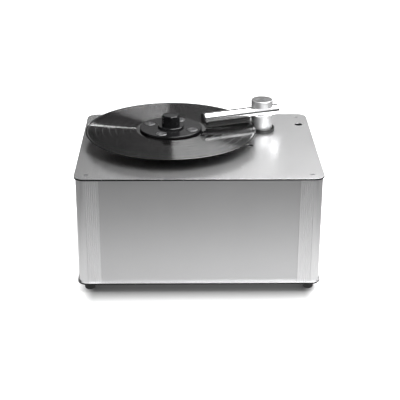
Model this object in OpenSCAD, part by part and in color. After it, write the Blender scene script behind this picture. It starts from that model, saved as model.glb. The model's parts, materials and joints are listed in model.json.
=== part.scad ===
// Vacuum record cleaning machine with a clamped twelve inch record.
// Lengths in millimetres. X runs to the right, Y to the back, Z up from the surface it stands on.

/* [Case] */
// Width of the top and bottom plates
case_w = 412; // [400:1:440]
// Depth of the top and bottom plates
case_d = 332; // [324:1:360]
// Height from the underside of the bottom plate to the top face
case_h = 192; // [190:1:230]
// Thickness of the top and bottom plates
plate_t = 3; // [2.5:0.5:4]
// Corner radius of the plates
plate_corner_r = 18; // [12:1:20]
// How far the plates stand out past the body
plate_overhang = 2.5; // [1:0.5:4]
// Distance of each corner screw from both plate edges
screw_inset = 20; // [18:0.5:22]

/* [Corner profiles] */
// Width of each face of a corner profile
leg_w = 38; // [36:0.5:44]
// Wall of the corner profiles
profile_wall = 2.5; // [2:0.1:3]
// Outer radius of the corner profiles
profile_r = 15.5; // [12:0.5:16]
// Flutes on each face of a profile
flute_count = 7; // [5:1:7]
// Pitch of the flutes
flute_pitch = 3.1; // [2.8:0.1:3.1]
// Radius of the round flute cutter
flute_r = 1.05; // [0.8:0.05:1.2]
// Depth of a flute
flute_depth = 0.8; // [0.4:0.1:0.9]
// Plain lip between the last flute and the panel
lip_w = 2.5; // [2:0.1:3]
// Depth of the groove that holds a panel
groove_depth = 9; // [7:0.5:11]
// Outer diameter of the screw port
port_d = 10; // [9:0.5:11]

/* [Panels] */
// Thickness of the four wall panels
panel_t = 3; // [2:0.5:3.5]
// Play of a panel in its groove, on each side
panel_gap = 0.1; // [0.05:0.05:0.3]

/* [Feet and screws] */
// Diameter of a rubber foot
foot_d = 18; // [17.5:0.5:22]
// Height of a rubber foot
foot_h = 15; // [10:0.5:18]
// Edge radius of a rubber foot
foot_edge_r = 3.5; // [1:0.5:3.5]
// Shank diameter of the corner screws
screw_d = 4.8; // [4:0.1:5]
// Head diameter of the corner screws
screw_head_d = 8.4; // [7.5:0.1:9]
// Length of the corner screws inside the profiles
screw_grip = 14; // [10:1:20]

/* [Record] */
// Diameter of the record
record_d = 301.6; // [300:0.1:302]
// Diameter of the thicker label area
label_d = 100; // [98:0.5:101]
// Thickness of the label area
label_t = 3; // [2.6:0.1:3.6]
// Thickness at the grooves
groove_t = 1.6; // [1.4:0.1:1.9]
// Thickness of the raised rim
rim_t = 2; // [2:0.1:2.4]
// Spindle hole of the record
record_hole_d = 7.24; // [7.2:0.01:7.33]

/* [Platter and spindle] */
// Spindle axis, to the right of the case middle
spindle_x = -48; // [-50:1:-44]
// Spindle axis, behind the case middle
spindle_y = 26; // [20:1:28]
// Height of the record's label above the top plate
record_lift = 17.1; // [16:0.1:22]
// Diameter of the platter
platter_d = 106; // [100:1:112]
// Thickness of the platter
platter_t = 8; // [7:0.5:9]
// Thickness of the platter mat
mat_t = 1.5; // [1:0.1:2]
// Shaft diameter in the bearings
shaft_d = 8; // [8:0.5:8]
// Play of the record on the spindle, across
centring_play = 0.14; // [0.1:0.02:0.2]
// Diameter of the clamp thread
stud_d = 6; // [5:0.5:6]
// Length of thread inside the clamp
stud_engage = 8; // [6:0.5:10]

/* [Clamp] */
// Diameter of the clamp disc
clamp_d = 110; // [106:1:112]
// Thickness of the clamp disc
clamp_t = 3.2; // [2.6:0.1:4]
// Diameter of the boss under the knob
hub_d = 46; // [40:1:48]
// Height of the boss under the knob
hub_h = 3.4; // [2:0.1:5]
// Width of the eight sided knob over its corners
knob_d = 33; // [30:0.5:36]
// Height of the knob
knob_h = 19; // [16:0.5:24]
// Diameter of the four round inlays
inlay_d = 19; // [16:0.5:20]
// Distance of an inlay from the disc's edge
inlay_margin = 4.5; // [4:0.5:6]
// Height of an inlay above the disc
inlay_proud = 0.7; // [0.4:0.1:1]

/* [Suction arm] */
// Gap between the record's edge and the post
post_gap = 2.2; // [2:0.1:6]
// Direction from the spindle to the post, back from the X axis
post_deg = 16.43; // [14:0.01:20]
// Outer diameter of the post
post_d = 37; // [36:0.5:38]
// How much wider than the post the cap is
cap_over = 1.6; // [0:0.1:3]
// Bore of the post
post_bore_d = 28; // [27:0.5:29]
// Height of the cap
cap_h = 13; // [11:0.5:15]
// Outer diameter of the arm tube
tube_d = 19; // [18:0.5:20]
// Wall of the arm tube
tube_wall = 1.5; // [1.2:0.1:2]
// Length of the tube behind the post axis
arm_tail = 31.4; // [28:0.1:36]
// Angle of the arm past the spindle, towards the front
arm_offset_deg = 4.4; // [0:0.1:8]
// Height of the felt strips above the rim while the arm is drawn down
strip_clear = 0.3; // [0.2:0.1:1]
// Thickness of the felt strips
felt_t = 1.3; // [1:0.1:1.6]
// Width of one felt strip
felt_w = 2.8; // [2.4:0.1:3]
// Height of the strip carrier below the tube
carrier_h = 3.4; // [3:0.1:4]
// Width of the strip carrier
carrier_w = 9; // [8.4:0.2:10]
// Slot in the tube for the carrier
tube_slot_w = 4; // [3.6:0.1:4.4]
// Air slot between the felt strips
air_slot_w = 1.8; // [1.4:0.1:2.2]
// How far the suction pulls the arm down
float_travel = 2.4; // [1.5:0.1:2.5]

/* [Arm guide] */
// Length of the guide tube under the top plate
guide_len = 48; // [46:1:50]
// Outer diameter of the guide tube
guide_d = 50; // [48:1:52]
// Height of the collar ring on the top plate
collar_h = 7.5; // [6:0.5:9]
// Outer diameter of the collar ring
collar_d = 46.5; // [43.5:0.5:48]
// Wire of the lifting spring
spring_wire = 2.5; // [2:0.1:3]
// Turns of the lifting spring
spring_turns = 5; // [4:1:6]
// Height of the swivel cup's rim under the post
cup_h = 8; // [7:0.5:9]
// Length of the neck that plugs into the post
neck_h = 24; // [20:1:24]

/* [Turntable drive] */
// Length of the bearing housing under the top plate
bearing_len = 48; // [44:1:52]
// Outer diameter of a ball bearing
bearing_d = 22; // [20:0.5:22]
// Width of a ball bearing
bearing_w = 7; // [6:0.5:8]
// Gap between the bearing housing and the motor bracket
coupling_gap = 25; // [23:1:30]
// Diameter of the gear motor
drive_motor_d = 60; // [54:1:62]
// Height of the gear motor
drive_motor_h = 62; // [50:1:66]

/* [Tank] */
// Width of the waste tank
tank_w = 146; // [140:1:148]
// Depth of the waste tank
tank_d = 176; // [172:1:180]
// Gap between the tank's rim and the right panel
tank_side_gap = 4; // [3:0.5:6]
// Gap between the tank and the rear panel
tank_gap = 25; // [23:0.5:28]
// Wall of the tank
tank_wall = 2.5; // [2:0.1:3]
// Thickness of the tank lid
lid_t = 4; // [3:0.5:5]
// Height of the spring tower on the lid
tower_h = 16; // [14:1:18]
// Spill drain, to the right of the case middle
spill_x = 91; // [88:1:94]
// Spill drain, behind the case middle
spill_y = -7.5; // [-9:0.5:-6]
// Diameter of the spill drain
spill_d = 9; // [8:0.5:10]
// Service hole, in from the right plate edge
service_inset = 19; // [18:0.5:24]
// Service hole, behind the case middle
service_y = 104.5; // [96:0.5:108]
// Diameter of the service hole
service_d = 12; // [10:0.5:13]
// Chamfer round the spill drain and the service hole
hole_chamfer = 0.9; // [0.5:0.1:1.2]

/* [Vacuum unit] */
// Gap between the fan housing and the left panel
fan_gap = 12; // [8:1:16]
// Length of the exhaust duct from the fan axis to the rear panel
duct_len = 74; // [70:1:80]
// Width of the exhaust duct
duct_w = 40; // [36:1:44]
// Outer diameter of the fan housing
fan_d = 108; // [104:1:110]
// Height of the fan housing with its cover
fan_h = 34; // [32:1:38]
// Blades of the fan wheel
blade_count = 9; // [7:1:11]
// Diameter of the vacuum motor
fan_motor_d = 84; // [76:1:88]
// Height of the vacuum motor
fan_motor_h = 62; // [54:1:64]
// Height of the rubber mount under the motor
mount_h = 6; // [4:1:8]
// Bore of the suction hose
hose_bore = 26; // [24:0.5:27]
// Wall of the suction hose
hose_wall = 2.4; // [2:0.1:3]
// Bend radius of the suction hose
hose_bend_r = 25; // [24:1:26]

/* [Controls] */
// Length of a switch cut out
switch_l = 19.4; // [19.2:0.2:21]
// Width of a switch cut out
switch_w = 12.9; // [12.9:0.1:14]
// Depth of a switch behind the panel
switch_depth = 20; // [19:0.5:26]
// Switch middle line, below the top face
switch_drop = 36; // [32:1:60]
// Rotation switch, behind the case front
switch_front = 78; // [70:1:100]
// Spacing of the two switches
switch_pitch = 34; // [30:1:50]
// Tilt of a rocker to each side
rocker_tilt = 12; // [8:1:14]

/* [Mains inlet] */
// Width of the inlet cut out
inlet_w = 27; // [26.5:0.1:28]
// Height of the inlet cut out
inlet_h = 20; // [19.8:0.1:21]
// Inlet middle, in from the left plate edge
inlet_side = 92; // [80:1:110]
// Inlet middle, above the bottom plate
inlet_rise = 36; // [28:1:52]

/* [Drain and level] */
// Drain cock axis, in from the tank's left wall
cock_inset = 40; // [36:1:50]
// Level tube axis, in from the tank's right wall
level_inset = 40; // [32:1:50]
// Height of the drain above the tank floor
drain_rise = 11; // [10:0.5:14]
// Outer diameter of the hose spout
spout_d = 8; // [7.5:0.1:8.5]
// Length of the hose spout
spout_l = 16; // [14:0.5:20]
// Length of the cock lever from its axis
lever_l = 26; // [22:1:32]
// Outer diameter of the level tube
level_d = 9; // [8:0.5:9]

/* [Hidden] */
$fn = 64;
eps = 0.01;            // how far a cutter runs past a face
seat = 0.02;           // play of pieces that are pressed together
running = 0.05;        // radial play of a turning fit
free_gap = 0.3;        // gap between pieces that move past each other

// Heights of the case
z_deck = foot_h + plate_t;
z_top = foot_h + case_h;
z_under = z_top - plate_t;
profile_h = z_under - z_deck;
body_w = case_w - 2 * plate_overhang;
body_d = case_d - 2 * plate_overhang;
port_inset = screw_inset - plate_overhang;
panel_out = profile_wall + panel_gap;
panel_y = body_d / 2 - panel_out;
panel_x = body_w / 2 - panel_out;
panel_edge = leg_w - groove_depth + panel_gap;

// Heights of the platter, record and clamp
z_label = z_top + record_lift;
z_label_top = z_label + label_t;
z_record = z_label + label_t / 2;
z_rim = z_record + rim_t / 2;
z_mat = z_label - mat_t;
z_platter = z_mat - platter_t;
z_clamp = z_label_top + 0.2;
z_clamp_top = z_clamp + clamp_t;
z_hub = z_clamp_top + hub_h;
z_knob = z_hub + 0.2;
centring_d = record_hole_d - centring_play;
inlay_ring_r = clamp_d / 2 - inlay_margin - inlay_d / 2;
neck_lip = 2;
z_bearing = z_under - bearing_len;
z_bracket = z_bearing - coupling_gap;
bracket_t = 3;

// Suction arm
post_reach = record_d / 2 + post_gap + post_d / 2;
post_x = spindle_x + post_reach * cos(post_deg);
post_y = spindle_y + post_reach * sin(post_deg);
arm_deg = 180 + post_deg + arm_offset_deg;
strip_gap = float_travel + strip_clear;
arm_end_gap = 3.2;
arm_reach = post_reach - clamp_d / 2 - arm_end_gap;
tube_r = tube_d / 2;
z_strip = z_rim + strip_gap;
z_carrier = z_strip + felt_t;
z_arm = z_carrier + carrier_h + tube_r;
groove_start = post_reach - record_d / 2 + 3;
strip_end = arm_reach - 4;
saddle_depth = 3;
z_post_top = z_arm - tube_r + saddle_depth;
cap_bite = 0.6;
z_cap = z_arm + tube_r - cap_bite;
web_t = 8;
air_hole_d = 7;
air_hole_x = 9;
arm_screw_d = 4.8;
arm_screw_head_d = 8.5;
arm_screw_head_h = 5;
cap_thread = 8;
cap_d = post_d + cap_over;

// Arm guide
guide_bore_len = 34;
chamber_r = guide_d / 2 - 4;
z_shoulder = z_under - guide_bore_len;
z_guide = z_under - guide_len;
washer_t = 3;
z_washer = z_shoulder - washer_t;
z_post = z_shoulder + cup_h;
air_r = 10;
stub_r = 12;
stub_len = 16;
spring_r = 15.5;
seat_depth = 10;

// Tank
z_lid = z_guide - tower_h;
z_tank_top = z_lid - lid_t;
tank_floor = 3;
tank_rim = 4;
tank_corner_r = 8;
tank_x = panel_x - panel_t - tank_side_gap - tank_rim - tank_w / 2;
tank_y = panel_y - panel_t - tank_gap - tank_d / 2;
z_seat = z_lid + tower_h - seat_depth;
z_drain = z_deck + tank_floor + drain_rise;
cock_x = tank_x - tank_w / 2 + cock_inset;
level_x = tank_x + tank_w / 2 - level_inset;
service_x = case_w / 2 - service_inset;
inlet_z = z_deck + inlet_rise;

// Vacuum unit
fan_x = -panel_x + panel_t + fan_gap + fan_d / 2;
fan_y = panel_y - panel_t - duct_len;
z_fan_motor = z_deck + mount_h;
z_fan = z_fan_motor + fan_motor_h;
z_fan_top = z_fan + fan_h;
fan_wall = 2.5;
wheel_r = fan_d / 2 - 8;
eye_r = 18;
hose_r = hose_bore / 2;
spigot_wall = 2.2;
spigot_h = 8;
hose_clear = 1.2;
hose_x = post_x - guide_d / 2 - hose_clear - hose_wall - hose_r;
hose_z = z_lid + spigot_h + hose_bend_r;

// Rear fittings
rear_face = panel_y;
fitting_r = 7;
fitting_y = rear_face + fitting_r + 1;
pipe_r = 5;
z_level_top = z_tank_top - 12;
record_back = spindle_y + record_d / 2;
back_reach = max(case_d / 2, record_back, fitting_y + fitting_r);
shift_y = -(back_reach - case_d / 2) / 2;

// Places a piece that is drawn about the case middle
module in_case() {
    translate([0, shift_y, 0]) children();
}

module at_spindle() {
    in_case() translate([spindle_x, spindle_y, 0]) children();
}

module at_post() {
    in_case() translate([post_x, post_y, 0]) children();
}

// X runs along the arm, from the post towards the record
module at_arm() {
    at_post() rotate(arm_deg) children();
}

module at_fan() {
    in_case() translate([fan_x, fan_y, 0]) children();
}

module at_corners(inset) {
    for (sx = [-1, 1], sy = [-1, 1])
        translate([sx * (case_w / 2 - inset), sy * (case_d / 2 - inset), 0]) children();
}

module rounded_rect(w, d, r) {
    square([w - 2 * r, d], center = true);
    square([w, d - 2 * r], center = true);
    for (sx = [-1, 1], sy = [-1, 1]) translate([sx * (w / 2 - r), sy * (d / 2 - r)]) circle(r);
}

module stadium(l, w) {
    square([l - w, w], center = true);
    for (s = [-1, 1]) translate([s * (l - w) / 2, 0]) circle(w / 2);
}

module ring(ro, ri, h) {
    difference() {
        cylinder(r = ro, h = h);
        translate([0, 0, -1]) cylinder(r = ri, h = h + 2);
    }
}

// Hole through a plate whose upper face is at z, with a chamfer of width c
module chamfered_hole(r, c, z, t) {
    translate([0, 0, z - t - 1]) cylinder(r = r, h = t + 2);
    translate([0, 0, z - c]) cylinder(r1 = r, r2 = r + c + eps, h = c + eps);
}

// Case

head_drop = (screw_head_d - screw_d) / 2;

module top_plate() color("silver") in_case() difference() {
    translate([0, 0, z_under]) linear_extrude(plate_t) rounded_rect(case_w, case_d, plate_corner_r);
    at_corners(screw_inset) {
        translate([0, 0, z_under - 1]) cylinder(r = screw_d / 2 + free_gap, h = plate_t + 2);
        translate([0, 0, z_top - head_drop])
            cylinder(r1 = screw_d / 2 + 0.1, r2 = screw_head_d / 2 + 0.1, h = head_drop + eps);
    }
    translate([spindle_x, spindle_y, z_under - 1]) cylinder(r = neck_r + seat, h = plate_t + 2);
    translate([spindle_x, spindle_y, 0]) at_housing_screws() {
        sink = housing_head_r - housing_screw_r;
        translate([0, 0, z_under - 1]) cylinder(r = housing_screw_r + 0.1, h = plate_t + 2);
        translate([0, 0, z_top - sink])
            cylinder(r1 = housing_screw_r + 0.1, r2 = housing_head_r + 0.1, h = sink + eps);
    }
    translate([post_x, post_y, z_under - 1]) cylinder(r = collar_lip_r + seat, h = plate_t + 2);
    translate([spill_x, spill_y, 0]) chamfered_hole(spill_d / 2, hole_chamfer, z_top, plate_t);
    translate([service_x, service_y, 0]) chamfered_hole(service_d / 2, hole_chamfer, z_top, plate_t);
}

slot_l = 44;
slot_w = 3.4;
slot_pitch = 9;

module bottom_plate() color("silver") in_case() difference() {
    translate([0, 0, foot_h]) linear_extrude(plate_t) rounded_rect(case_w, case_d, plate_corner_r);
    at_corners(screw_inset) translate([0, 0, foot_h - 1])
        cylinder(r = screw_d / 2 + free_gap, h = plate_t + 2);
    // Cooling slots under the vacuum motor
    for (i = [-3 : 3]) translate([fan_x + i * slot_pitch, fan_y, foot_h - 1])
        linear_extrude(plate_t + 2) rotate(90) stadium(slot_l, slot_w);
}

// One leg of the corner section, along X, with its groove open at the far end
module profile_leg() {
    difference() {
        translate([profile_r, 0]) square([leg_w - profile_r, profile_wall]);
        for (i = [0 : flute_count - 1])
            translate([leg_w - lip_w - flute_pitch * (i + 0.5), flute_depth - flute_r])
                circle(flute_r, $fn = 24);
    }
    back = profile_wall + panel_t + 2 * panel_gap;
    stop = leg_w - groove_depth;
    translate([stop - 2, back]) square([groove_depth + 2, 2]);
    translate([stop - 2, profile_wall - eps]) square([2, panel_t + 2 * panel_gap + 2 * eps]);
    // Web from the face to the screw port
    translate([port_inset - 1, profile_wall - eps]) square([2, port_inset - profile_wall - port_d / 2 + 1]);
}

module profile_section() {
    difference() {
        union() {
            profile_leg();
            mirror([1, -1]) profile_leg();
            intersection() {
                translate([profile_r, profile_r]) difference() {
                    circle(profile_r);
                    circle(profile_r - profile_wall);
                }
                square(profile_r);
            }
            translate([port_inset, port_inset]) circle(port_d / 2);
        }
        translate([port_inset, port_inset]) circle(screw_d / 2 + 0.1);
    }
}

// The section is the same about its diagonal, so each corner is a quarter turn of the first
module corner_profile(sx, sy, turn) color("gainsboro") in_case()
    translate([sx * body_w / 2, sy * body_d / 2, z_deck]) rotate(turn)
        linear_extrude(profile_h) profile_section();

module profile_front_left() corner_profile(-1, -1, 0);
module profile_front_right() corner_profile(1, -1, 90);
module profile_rear_right() corner_profile(1, 1, 180);
module profile_rear_left() corner_profile(-1, 1, 270);

module front_panel() color("darkgray") in_case()
    translate([-body_w / 2 + panel_edge, -panel_y, z_deck])
        cube([body_w - 2 * panel_edge, panel_t, profile_h]);

module left_panel() color("darkgray") in_case()
    translate([-panel_x, -body_d / 2 + panel_edge, z_deck])
        cube([panel_t, body_d - 2 * panel_edge, profile_h]);

module right_panel() color("darkgray") in_case() difference() {
    translate([panel_x - panel_t, -body_d / 2 + panel_edge, z_deck])
        cube([panel_t, body_d - 2 * panel_edge, profile_h]);
    for (i = [0, 1]) at_switch(i) translate([-switch_l / 2, -switch_w / 2, -panel_t - 1])
        cube([switch_l, switch_w, panel_t + 2]);
}

vent_count = 8;
vent_pitch = duct_w / (vent_count + 1);
vent_w = 2.4;

module rear_panel() color("darkgray") in_case() difference() {
    translate([-body_w / 2 + panel_edge, panel_y - panel_t, z_deck])
        cube([body_w - 2 * panel_edge, panel_t, profile_h]);
    translate([inlet_x, panel_y, inlet_z]) rotate([90, 0, 0]) translate([0, 0, -1])
        linear_extrude(panel_t + 2) square([inlet_w, inlet_h], center = true);
    for (i = [1 : vent_count])
        translate([fan_x + fan_d / 2 - i * vent_pitch, panel_y + 1, z_fan + fan_h / 2]) rotate([90, 0, 0])
            linear_extrude(panel_t + 2) rotate(90) stadium(fan_h - 2 * fan_wall - 3, vent_w);
    translate([cock_x, panel_y + 1, z_drain]) rotate([90, 0, 0]) cylinder(r = pipe_r + seat, h = panel_t + 2);
    for (z = [z_drain, z_level_top])
        translate([level_x, panel_y + 1, z]) rotate([90, 0, 0]) cylinder(r = pipe_r + seat, h = panel_t + 2);
}

// Feet and the screws that hold the plates to the profiles

foot_recess_r = screw_head_d / 2 + 0.4;
foot_recess_h = 5;
foot_head_h = 3;

module foot() difference() {
    rotate_extrude() {
        square([foot_d / 2 - foot_edge_r, foot_h]);
        translate([0, foot_edge_r]) square([foot_d / 2, foot_h - foot_edge_r]);
        intersection() {
            translate([foot_d / 2 - foot_edge_r, foot_edge_r]) circle(foot_edge_r);
            square([foot_d / 2, foot_h]);
        }
    }
    translate([0, 0, -1]) cylinder(r = foot_recess_r, h = foot_recess_h + 1);
    translate([0, 0, -1]) cylinder(r = screw_d / 2 + 0.1, h = foot_h + 2);
}

module feet() color("black") in_case() at_corners(screw_inset) foot();

module corner_screws() color("silver") in_case() at_corners(screw_inset) {
    difference() {
        union() {
            translate([0, 0, z_top - head_drop])
                cylinder(r1 = screw_d / 2, r2 = screw_head_d / 2, h = head_drop);
            translate([0, 0, z_under - screw_grip])
                cylinder(r = screw_d / 2, h = screw_grip + plate_t - head_drop);
        }
        translate([0, 0, z_top - 1.4]) cylinder(d = 3.8, h = 2, $fn = 6);
    }
    difference() {
        union() {
            translate([0, 0, foot_recess_h - foot_head_h]) cylinder(r = screw_head_d / 2, h = foot_head_h);
            translate([0, 0, foot_recess_h])
                cylinder(r = screw_d / 2, h = z_deck - foot_recess_h + screw_grip);
        }
        translate([0, 0, foot_recess_h - foot_head_h - 1]) cylinder(d = 4, h = 3, $fn = 6);
    }
}

// Turntable bearing and drive

neck_r = bearing_d / 2 + 2;
housing_flange_r = 34;
housing_flange_t = 4;
barrel_r = bearing_d / 2 + 4;

module bearing_housing() color("dimgray") at_spindle() difference() {
    union() {
        translate([0, 0, z_bearing]) cylinder(r = barrel_r, h = bearing_len);
        translate([0, 0, z_under - housing_flange_t]) cylinder(r = housing_flange_r, h = housing_flange_t);
        translate([0, 0, z_under - eps]) cylinder(r = neck_r, h = plate_t + neck_lip + eps);
    }
    translate([0, 0, z_bearing - 1]) cylinder(r = bearing_d / 2 - 2, h = bearing_len + plate_t + 8);
    translate([0, 0, z_bearing - 1]) cylinder(r = bearing_d / 2, h = bearing_w + 1);
    translate([0, 0, z_under - bearing_w - 1]) cylinder(r = bearing_d / 2, h = bearing_w + plate_t + 8);
    at_housing_screws() translate([0, 0, z_under - housing_flange_t - 1])
        cylinder(r = housing_screw_r + seat, h = 10);
}

// Three countersunk screws, hidden under the platter
housing_screw_r = 2;
housing_head_r = 3.8;

module at_housing_screws() {
    for (a = [90 : 120 : 330]) rotate(a) translate([pillar_ring_r, 0, 0]) children();
}

module housing_screws() color("silver") at_spindle() at_housing_screws() difference() {
    sink = housing_head_r - housing_screw_r;
    union() {
        translate([0, 0, z_top - sink]) cylinder(r1 = housing_screw_r, r2 = housing_head_r, h = sink);
        translate([0, 0, z_under - housing_flange_t - 1])
            cylinder(r = housing_screw_r, h = housing_flange_t + 1 + plate_t - sink + eps);
    }
    translate([0, 0, z_top - 1.2]) cylinder(d = 2.6, h = 2, $fn = 6);
}

module spindle_bearings() color("lightgray") at_spindle()
    for (z = [z_bearing, z_under - bearing_w - 1])
        translate([0, 0, z]) ring(bearing_d / 2 - seat, shaft_d / 2 + running, bearing_w);

seal_h = 4;

module shaft_seal() color("black") at_spindle()
    translate([0, 0, z_under - 1]) ring(bearing_d / 2 - seat, shaft_d / 2 + running, seal_h);

pillar_r = 3.5;
pillar_ring_r = 27;

module motor_bracket() color("silver") at_spindle() {
    translate([0, 0, z_bracket]) ring(housing_flange_r, 9, bracket_t);
    for (a = [30 : 120 : 270]) rotate(a) translate([pillar_ring_r, 0, z_bracket + bracket_t - eps])
        cylinder(r = pillar_r, h = z_under - housing_flange_t - z_bracket - bracket_t + eps);
}

output_r = 3;
gearbox_h = 22;

module drive_motor() color("gray") at_spindle() difference() {
    union() {
        translate([0, 0, z_bracket - gearbox_h]) cylinder(r = drive_motor_d / 2, h = gearbox_h);
        translate([0, 0, z_bracket - drive_motor_h])
            cylinder(r = drive_motor_d / 2 - 3, h = drive_motor_h - gearbox_h + eps);
        translate([0, 0, z_bracket - eps]) cylinder(r = 8, h = bracket_t + 2);
        translate([-8, drive_motor_d / 2 - 6, z_bracket - drive_motor_h + 6]) cube([16, 10, 12]);
    }
    translate([0, 0, z_bracket - shaft_sink - 1]) cylinder(r = output_r + running, h = 2 * shaft_sink);
}

coupling_r = 9;
coupling_clear = 4;
z_coupling = z_bracket + bracket_t + coupling_clear;
coupling_h = z_bearing - 1 - z_coupling;
shaft_sink = 14;

module drive_shaft() color("silver") at_spindle() difference() {
    union() {
        translate([0, 0, z_bracket - shaft_sink])
            cylinder(r = output_r, h = z_coupling - z_bracket + shaft_sink + 1);
        translate([0, 0, z_coupling]) cylinder(r = coupling_r, h = coupling_h);
    }
    translate([0, 0, z_coupling + coupling_h / 2]) cylinder(r = shaft_d / 2 + seat, h = coupling_h);
}

spindle_flange_r = 10;

module spindle() color("silver") at_spindle() {
    z_foot = z_coupling + coupling_h / 2;
    translate([0, 0, z_foot]) cylinder(r = shaft_d / 2, h = z_mat - z_foot);
    translate([0, 0, z_top + 4]) cylinder(r = spindle_flange_r, h = z_platter - z_top - 4);
    translate([0, 0, z_mat - eps]) cylinder(r = centring_d / 2, h = z_label_top - z_mat - 0.3 + eps);
    translate([0, 0, z_label_top - 0.3 - eps]) cylinder(r = stud_d / 2, h = stud_engage + 0.5 + eps);
}

skirt_r = 18;
skirt_wall = 2.5;
platter_rib_t = 3;
platter_face_t = 3.5;

module platter() color("dimgray") at_spindle() difference() {
    union() {
        translate([0, 0, z_mat - platter_face_t]) cylinder(r = platter_d / 2, h = platter_face_t);
        translate([0, 0, z_platter]) ring(platter_d / 2, platter_d / 2 - 4, platter_t - eps);
        translate([0, 0, z_platter]) cylinder(r = skirt_r, h = platter_t - eps);
        translate([0, 0, z_top + neck_lip + 0.6])
            ring(skirt_r, skirt_r - skirt_wall, z_platter - z_top - neck_lip - 0.6 + eps);
        for (a = [0 : 60 : 300]) rotate(a) translate([skirt_r - 1, -platter_rib_t / 2, z_platter])
            cube([platter_d / 2 - skirt_r - 2, platter_rib_t, platter_t - 1]);
    }
    translate([0, 0, z_platter - 1]) cylinder(r = shaft_d / 2 + seat, h = platter_t + 2);
}

module platter_mat() color("black") at_spindle()
    translate([0, 0, z_mat]) ring(platter_d / 2 - 1, centring_d / 2 + seat, mat_t);

module record() color([0.06, 0.06, 0.07]) at_spindle() translate([0, 0, z_record]) {
    ri = record_hole_d / 2;
    ro = record_d / 2;
    rl = label_d / 2;
    slope = (label_t - groove_t) / 2;
    half = [
        [ri, label_t / 2], [rl, label_t / 2], [rl + slope, groove_t / 2],
        [ro - 3, groove_t / 2], [ro - 1.6, rim_t / 2], [ro - 0.6, rim_t / 2], [ro, rim_t / 2 - 0.5]
    ];
    last = len(half) - 1;
    rotate_extrude() polygon(concat(half, [for (i = [0 : last]) [half[last - i][0], -half[last - i][1]]]));
}

// Record clamp

insert_r = 7.5;
insert_flange_r = 10;
insert_flange_t = 1;
inlay_sink = 1.2;
seal_r = label_d / 2 - 1.5;
seal_w = 3.5;
inlay_deg = 67;

module clamp_disc() color([0.12, 0.12, 0.13]) at_spindle() difference() {
    union() {
        translate([0, 0, z_clamp]) cylinder(r = clamp_d / 2, h = clamp_t - 0.5);
        translate([0, 0, z_clamp_top - 0.5 - eps])
            cylinder(r1 = clamp_d / 2, r2 = clamp_d / 2 - 0.5, h = 0.5 + eps);
        translate([0, 0, z_clamp_top - eps]) cylinder(r = hub_d / 2, h = hub_h - 0.8 + eps);
        translate([0, 0, z_hub - 0.8 - eps]) cylinder(r1 = hub_d / 2, r2 = hub_d / 2 - 0.8, h = 0.8 + eps);
    }
    translate([0, 0, z_clamp - 1]) cylinder(r = insert_r + running, h = clamp_t + hub_h + 2);
    translate([0, 0, z_clamp - 1]) cylinder(r = insert_flange_r + free_gap, h = insert_flange_t + 1.1);
    translate([0, 0, z_clamp - 1]) ring(seal_r + seat, seal_r - seal_w - seat, 2);
    for (i = [0 : 3]) rotate(inlay_deg + 90 * i)
        translate([inlay_ring_r, 0, z_clamp_top - inlay_sink]) cylinder(r = inlay_d / 2 + seat, h = 3);
}

module clamp_seal() color("black") at_spindle()
    translate([0, 0, z_label_top]) ring(seal_r, seal_r - seal_w, z_clamp + 1 - z_label_top);

module clamp_inlays() color("silver") at_spindle() for (i = [0 : 3])
    rotate(inlay_deg + 90 * i) translate([inlay_ring_r, 0, z_clamp_top - inlay_sink]) difference() {
        union() {
            cylinder(r = inlay_d / 2, h = inlay_sink + inlay_proud - 0.4);
            translate([0, 0, inlay_sink + inlay_proud - 0.4 - eps])
                cylinder(r1 = inlay_d / 2, r2 = inlay_d / 2 - 0.8, h = 0.4 + eps);
        }
        translate([0, 0, inlay_sink + inlay_proud - 0.6]) cylinder(r = inlay_d / 5, h = 2);
    }

knob_turn = 1;
knob_blunt = 0.96;
knob_chamfer = 1.2;
knob_dish_r = 10.5;
knob_socket = 14;

module clamp_knob() color([0.07, 0.07, 0.08]) at_spindle() translate([0, 0, z_knob]) difference() {
    intersection() {
        rotate(knob_turn) cylinder(d = knob_d, h = knob_h, $fn = 8);
        union() {
            cylinder(r = knob_d / 2 * knob_blunt, h = knob_h - knob_chamfer);
            translate([0, 0, knob_h - knob_chamfer - eps])
                cylinder(r1 = knob_d / 2 * knob_blunt, r2 = knob_d / 2 * knob_blunt - knob_chamfer - 0.6,
                    h = knob_chamfer + eps);
        }
    }
    translate([0, 0, knob_h - 0.5]) cylinder(r = knob_dish_r, h = 1);
    translate([0, 0, -1]) cylinder(r = insert_r + seat, h = knob_socket + 1);
}

module knob_insert() color("goldenrod") at_spindle() difference() {
    union() {
        translate([0, 0, z_clamp]) cylinder(r = insert_r, h = z_knob + knob_socket - z_clamp);
        translate([0, 0, z_clamp]) cylinder(r = insert_flange_r, h = insert_flange_t);
    }
    translate([0, 0, z_clamp - 1]) cylinder(r = stud_d / 2 + running, h = stud_engage + 3);
}

// Arm guide, fixed to the case

collar_lip_r = post_d / 2 + free_gap + 0.9;

module post_collar() color("black") at_post() {
    ri = post_d / 2 + free_gap;
    edge = (collar_d / 2 - ri) / 2;
    translate([0, 0, z_top]) rotate_extrude() {
        translate([ri, 0]) square([2 * edge, collar_h - edge]);
        translate([ri + edge, collar_h - edge]) circle(edge);
    }
    translate([0, 0, z_under]) ring(collar_lip_r, ri, plate_t + eps);
}

guide_flange_r = 32;

module post_guide() color("dimgray") at_post() difference() {
    union() {
        translate([0, 0, z_guide]) cylinder(r = guide_d / 2, h = guide_len);
        translate([0, 0, z_under - 3]) cylinder(r = guide_flange_r, h = 3);
    }
    translate([0, 0, z_guide - 1]) cylinder(r = post_d / 2 + running, h = guide_len + 2);
    translate([0, 0, z_guide - 1]) cylinder(r = chamber_r, h = z_shoulder - z_guide + 1);
}

function helix_point(r, z0, rise, turns, s) =
    [r * cos(360 * turns * s), r * sin(360 * turns * s), z0 + rise * s];

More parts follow.
